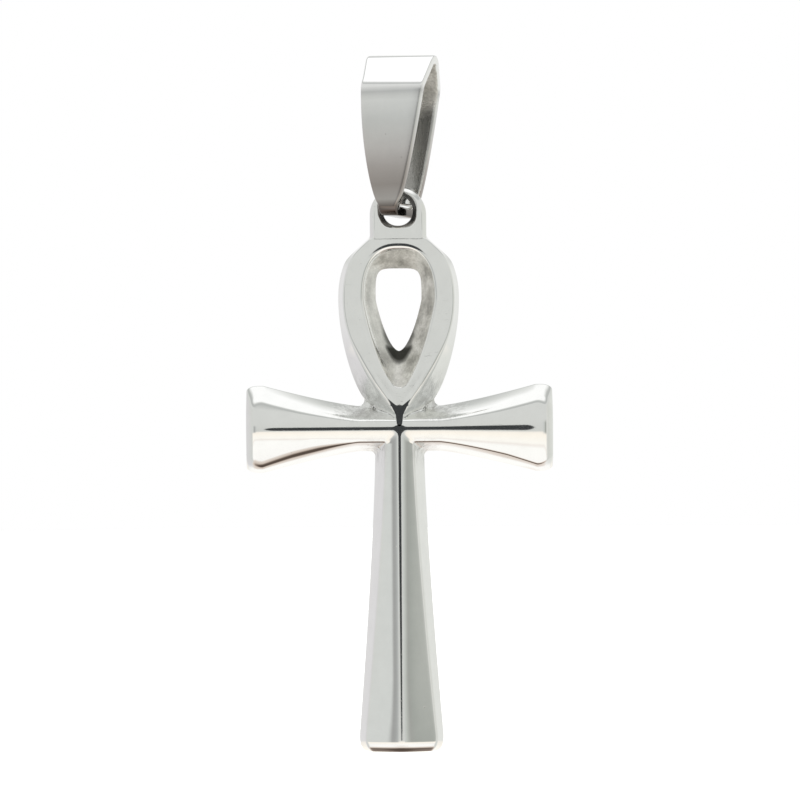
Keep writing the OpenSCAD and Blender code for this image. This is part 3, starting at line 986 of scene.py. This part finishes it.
hang = Matrix.Rotation(BAIL_LEAN, 3, "Y") @ Matrix.Rotation(-BAIL_TURN, 3, "Z")
strap_rows = []
for inner, outer in strap_path():
    corners = []
    for side in (1, -1):
        ends = [(outer, strap_half(outer.y, side)), (inner, strap_half(inner.y, side))]
        for point, half in (ends if side > 0 else ends[::-1]):
            corners.append((hang @ Vector((side * half, point.x, point.y)), STRAP_EDGE))
    strap_rows.append(softened(corners, 4))
strap = lofted("bail_strap", strap_rows, True)

# The inner faces are those that look to the heart, a line up the middle of the loop.
inner_faces = strap.data.attributes.new("inner", "FLOAT", "FACE")
for number, face in enumerate(strap.data.polygons):
    middle = hang.transposed() @ face.center
    heart = Vector((middle.x, 0, max(HEART_LOW, min(HEART_HIGH, middle.z))))
    out = (hang.transposed() @ face.normal).dot((middle - heart).normalized())
    inner_faces.data[number].value = 1.0 if out < -0.5 else 0.0
finish_mesh(strap, 40)

# The bail's painted reflections of the room and painted shade, as tones up its height from the lower bend.
FRONT_PAINTED_LIGHT = (
    (0.0, (0.06, 0.05, 0.045)), (0.035, (0.14, 0.12, 0.11)), (0.06, (0.2, 0.175, 0.16)),
    (0.1, (0.46, 0.435, 0.415)), (0.19, (0.37, 0.335, 0.315)), (0.3, (0.47, 0.435, 0.415)),
    (0.42, (0.62, 0.595, 0.58)), (0.6, (0.7, 0.7, 0.69)), (0.71, (0.82, 0.82, 0.81)),
    (0.74, (0.74, 0.74, 0.73)), (0.765, (0.62, 0.62, 0.62)), (0.8, (0.95, 0.95, 0.95)))
INNER_PAINTED_LIGHT = (
    (0.0, (0.97, 0.97, 0.96)), (0.12, (0.97, 0.97, 0.96)), (0.15, (0.56, 0.56, 0.55)),
    (0.62, (0.56, 0.56, 0.55)), (0.76, (0.97, 0.95, 0.94)), (0.95, (0.99, 0.97, 0.97)))
BEND_TOP, PLATE_FOOT = -9.9 * MM, -9.4 * MM
PLATE_TOP, ROOF_FOOT = -3.6 * MM, -1.7 * MM


def height_in(tree):
    """The height over the origin, in metres."""
    return add(tree, "ShaderNodeSeparateXYZ", add(tree, "ShaderNodeTexCoord").outputs["Object"]).outputs[2]


def bail_painted_light(tree):
    """Painted light and shade: the front is painted warmer and darker towards the ring, with a painted dark
    line under a painted highlight at the top fold; the inside is painted grey halfway up and white at its
    ends.
    """
    share = sum_up(tree, "MULTIPLY_ADD", height_in(tree), 1 / (BAIL_H * MM), 1 - STRAP_T / BAIL_H)
    front, inside = ramp(tree, share, FRONT_PAINTED_LIGHT), ramp(tree, share, INNER_PAINTED_LIGHT)
    return blend_colours(tree, attribute(tree, "inner"), front, inside)


def inner_wear_and_shade(tree, middle, top):
    """A share inside the loop, for its raw skin and for its darkening: none at its lower bend, then the
    middle one, then that of its top.
    """
    up = height_in(tree)
    share = sum_up(tree, "MULTIPLY", between(tree, up, BEND_TOP, PLATE_FOOT), middle)
    share = sum_up(tree, "MULTIPLY_ADD", between(tree, up, PLATE_TOP, ROOF_FOOT), top - middle, share)
    return sum_up(tree, "MULTIPLY", attribute(tree, "inner"), share)


# Inside the loop the shade-and-grime share darkens the plates with speckles, most halfway up.
strap.data.materials.append(worn_metal(
    "bail_metal", bail_painted_light,
    Raw=lambda tree: inner_wear_and_shade(tree, 0.18, 1.0),
    Stain=lambda tree: inner_wear_and_shade(tree, 0.22, 0.1)))
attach(strap, "bail")
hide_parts("bail")
